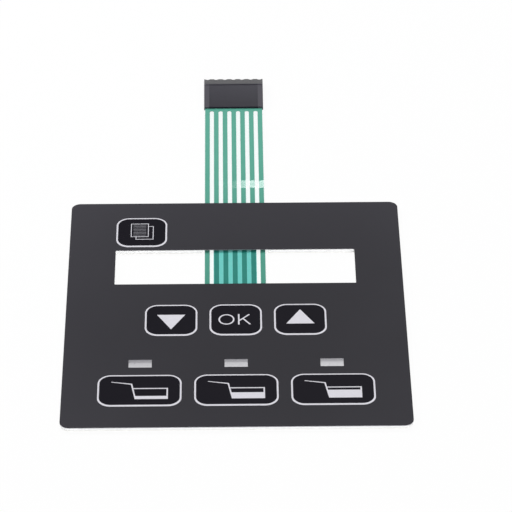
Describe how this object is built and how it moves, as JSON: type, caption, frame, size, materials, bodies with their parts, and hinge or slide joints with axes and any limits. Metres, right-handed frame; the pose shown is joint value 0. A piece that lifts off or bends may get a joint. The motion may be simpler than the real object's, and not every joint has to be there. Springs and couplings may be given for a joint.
{
  "type": "membrane keypad",
  "caption": "Flat laminated membrane keypad with a display window, ringed keys over snap domes, lamp windows and a flat film tail ending in a crimp connector.",
  "frame": {"origin": "middle of the panel's rear face, on the release liner's underside", "axes": "+X to the right of the printed face, +Y towards the tail's connector, +Z out of the printed face"},
  "size_m": [0.091, 0.1645, 0.0029],
  "materials": {
    "overlay_film": "clear polyester film, bare at the lamp windows",
    "grey_print": "matt dark grey screen print with a fine texture",
    "black_print": "satin black screen print",
    "white_print": "white screen print",
    "adhesive": "transfer adhesive",
    "spacer_film": "milky polyester film",
    "dome_steel": "bright stainless spring sheet",
    "silver_print": "printed silver paste",
    "green_print": "green insulating print over silver",
    "green_tint": "see-through green insulating strip",
    "clear_film": "clear polyester circuit film",
    "liner_paper": "glazed release paper",
    "black_moulding": "moulded black thermoplastic",
    "contact_metal": "tin-plated brass crimp contact"
  },
  "bodies": {
    "root": {"overlay_film": "overlay_film", "background_print": "grey_print", "key_fields": "black_print", "key_rings": "white_print", "face_adhesive": "adhesive", "dome_spacer": "spacer_film", "dome_report": "dome_steel", "dome_down": "dome_steel", "dome_ok": "dome_steel", "dome_up": "dome_steel", "dome_low": "dome_steel", "dome_half": "dome_steel", "dome_full": "dome_steel", "circuit_tracks": "silver_print", "crossover_pad": "green_print", "crossover_bridge": "silver_print", "circuit_film": "clear_film", "tail_cover": "green_print", "tail_patch": "green_tint", "rear_adhesive": "adhesive", "release_liner": "liner_paper", "connector_base": "black_moulding", "connector_cover": "black_moulding", "contact_1": "contact_metal", "contact_2": "contact_metal", "contact_3": "contact_metal", "contact_4": "contact_metal", "contact_5": "contact_metal", "contact_6": "contact_metal", "contact_7": "contact_metal"}
  },
  "joints": []
}
